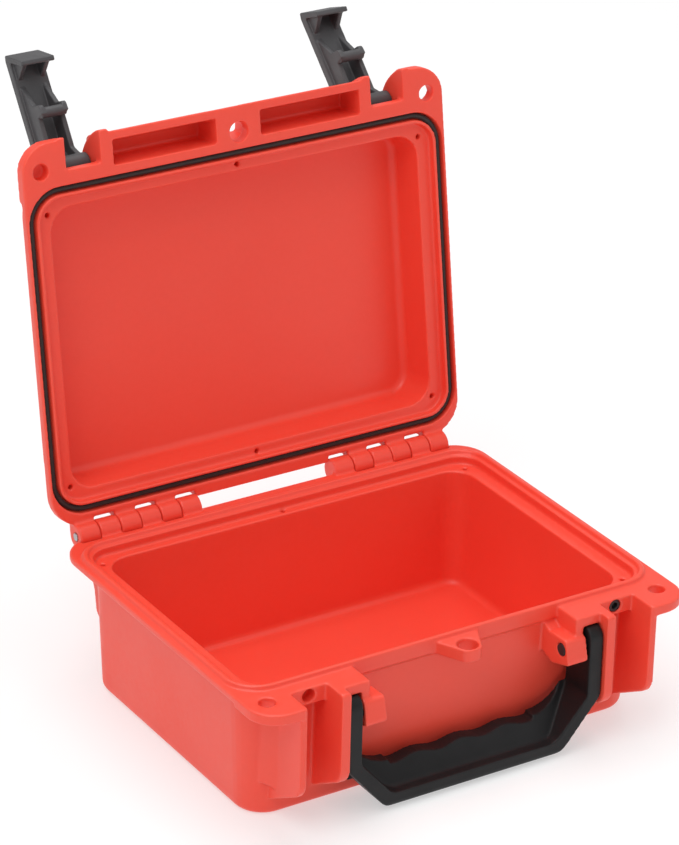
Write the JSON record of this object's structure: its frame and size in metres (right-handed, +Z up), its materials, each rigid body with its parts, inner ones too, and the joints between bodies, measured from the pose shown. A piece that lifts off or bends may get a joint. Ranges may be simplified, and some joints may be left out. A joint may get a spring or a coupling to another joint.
{
  "type": "waterproof first aid case",
  "caption": "Hard shell first aid case, lid open on rear hinges, two over-centre front latches, sealing ring and folding grip handle.",
  "frame": {"origin": "middle of the closed case's footprint on the plane it stands on", "axes": "+X to the case's right seen from the front, +Y to the hinges at the back, +Z up"},
  "size_m": [0.23, 0.2857, 0.2801],
  "materials": {
    "shell": "satin moulded orange-red polypropylene with fine grain",
    "seal": "matt black elastomer ring",
    "latch": "satin dark grey moulded plastic",
    "steel": "plain drawn steel pin",
    "handle": "fine grained black moulded plastic",
    "plug": "black moulded plastic"
  },
  "bodies": {
    "base": {"base_shell": "shell", "hinge_pin_left": "steel", "hinge_pin_right": "steel", "handle_pin_left": "plug", "handle_pin_right": "plug", "purge_plug": "plug"},
    "lid": {"lid_shell": "shell", "lid_seal": "seal", "latch_pin_left": "steel", "latch_pin_right": "steel"},
    "latch_left": {"latch_left": "latch"},
    "latch_right": {"latch_right": "latch"},
    "handle": {"handle": "handle"}
  },
  "joints": [
    {"name": "lid_hinge", "type": "hinge", "parent": "base", "child": "lid", "pos_m": [0, 0.092, 0.068], "axis": [1, 0, 0], "range_deg": [0, 98.6]},
    {"name": "latch_left_pivot", "type": "hinge", "parent": "lid", "child": "latch_left", "pos_m": [-0.0825, 0.13278, 0.23731], "axis": [1, 0, 0], "range_deg": [-14, 116.5]},
    {"name": "latch_right_pivot", "type": "hinge", "parent": "lid", "child": "latch_right", "pos_m": [0.0825, 0.13278, 0.23731], "axis": [1, 0, 0], "range_deg": [-3, 127.5]},
    {"name": "handle_swing", "type": "hinge", "parent": "base", "child": "handle", "pos_m": [0, -0.0897, 0.0535], "axis": [-1, 0, 0], "range_deg": [0, 95]}
  ]
}
